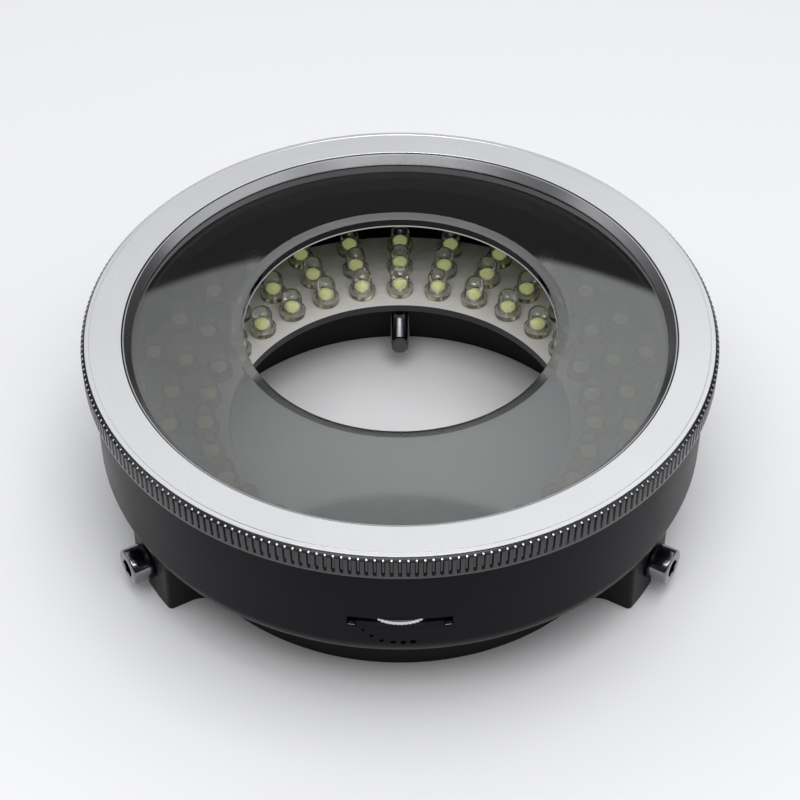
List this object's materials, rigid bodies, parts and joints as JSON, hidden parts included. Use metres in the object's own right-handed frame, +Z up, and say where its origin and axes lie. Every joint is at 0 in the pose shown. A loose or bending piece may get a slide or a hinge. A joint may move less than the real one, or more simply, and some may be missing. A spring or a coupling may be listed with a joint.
{
  "type": "microscope ring light",
  "caption": "Clamp-on LED ring light for a stereo microscope: rings of clear LEDs under a turning polariser window, knurled rim, side dimmer wheel and clamp screws.",
  "frame": {"origin": "on the floor under the centre of the ring, which lies on the underside of its mounting collar", "axes": "+Z up along the ring's axis, out of the lit face; the dimmer faces -Y; +X to the right seen from the dimmer"},
  "size_m": [0.091, 0.091, 0.0336],
  "materials": {
    "black_anodised": "satin black anodised",
    "black_collar": "satin black anodised",
    "silver_face": "satin silver anodised",
    "polished_rim": "polished",
    "smoked_glass": "polished, grey polarising film",
    "white_board": "pale solder mask",
    "clear_led": "clear cast resin",
    "steel": "bright machined",
    "soft_tip": "matte",
    "glide_plastic": "matte",
    "spring_wire": "drawn wire",
    "green_board": "solder mask",
    "black_plastic": "moulded satin",
    "dimmer_metal": "bright machined"
  },
  "bodies": {
    "light_body": {"mount_collar": "black_collar", "housing_shell": "black_anodised", "glide_ring": "glide_plastic", "led_board": "white_board", "led_ring_inner": "clear_led", "led_ring_middle": "clear_led", "led_ring_outer": "clear_led", "dimmer_plate": "black_plastic", "dimmer_potentiometer": "black_plastic", "dimmer_board": "green_board", "power_socket": "black_plastic", "power_socket_pin": "dimmer_metal", "base_screw_back": "steel", "base_screw_left": "steel", "base_screw_right": "steel", "board_screw_front": "steel", "board_screw_left": "steel", "board_screw_right": "steel"},
    "polariser_ring": {"knurled_ring": "black_anodised", "bezel_ring": "silver_face", "window_retainer": "polished_rim", "polariser_window": "smoked_glass", "snap_ring": "spring_wire"},
    "dimmer_wheel": {"dimmer_wheel": "dimmer_metal"},
    "clamp_tip_back": {"clamp_tip_back": "soft_tip"},
    "clamp_screw_back": {"clamp_screw_back": "steel"},
    "clamp_tip_left": {"clamp_tip_left": "soft_tip"},
    "clamp_screw_left": {"clamp_screw_left": "steel"},
    "clamp_tip_right": {"clamp_tip_right": "soft_tip"},
    "clamp_screw_right": {"clamp_screw_right": "steel"}
  },
  "joints": [
    {"name": "polariser_turn", "type": "hinge", "parent": "light_body", "child": "polariser_ring", "pos_m": [0, 0, 0.031], "axis": [0, 0, 1], "continuous": true},
    {"name": "dimmer_turn", "type": "hinge", "parent": "light_body", "child": "dimmer_wheel", "pos_m": [0, -0.0384, 0.0194], "axis": [0, 0, 1], "range_deg": [-150, 150]},
    {"name": "clamp_feed_back", "type": "slide", "parent": "light_body", "child": "clamp_tip_back", "axis": [0, 1, 0], "range_m": [0, 0.0086]},
    {"name": "clamp_turn_back", "type": "hinge", "parent": "clamp_tip_back", "child": "clamp_screw_back", "pos_m": [0, 0.04, 0.00555], "axis": [0, 1, 0], "range_deg": [0, 6192]},
    {"name": "clamp_feed_left", "type": "slide", "parent": "light_body", "child": "clamp_tip_left", "axis": [-0.866, -0.5, 0], "range_m": [0, 0.0086]},
    {"name": "clamp_turn_left", "type": "hinge", "parent": "clamp_tip_left", "child": "clamp_screw_left", "pos_m": [-0.03464, -0.02, 0.00555], "axis": [-0.866, -0.5, 0], "range_deg": [0, 6192]},
    {"name": "clamp_feed_right", "type": "slide", "parent": "light_body", "child": "clamp_tip_right", "axis": [0.866, -0.5, 0], "range_m": [0, 0.0086]},
    {"name": "clamp_turn_right", "type": "hinge", "parent": "clamp_tip_right", "child": "clamp_screw_right", "pos_m": [0.03464, -0.02, 0.00555], "axis": [0.866, -0.5, 0], "range_deg": [0, 6192]}
  ],
  "couplings": [
    {"joint": "clamp_turn_back", "follows": "clamp_feed_back", "rad_per_m": 12566},
    {"joint": "clamp_turn_left", "follows": "clamp_feed_left", "rad_per_m": 12566},
    {"joint": "clamp_turn_right", "follows": "clamp_feed_right", "rad_per_m": 12566}
  ]
}
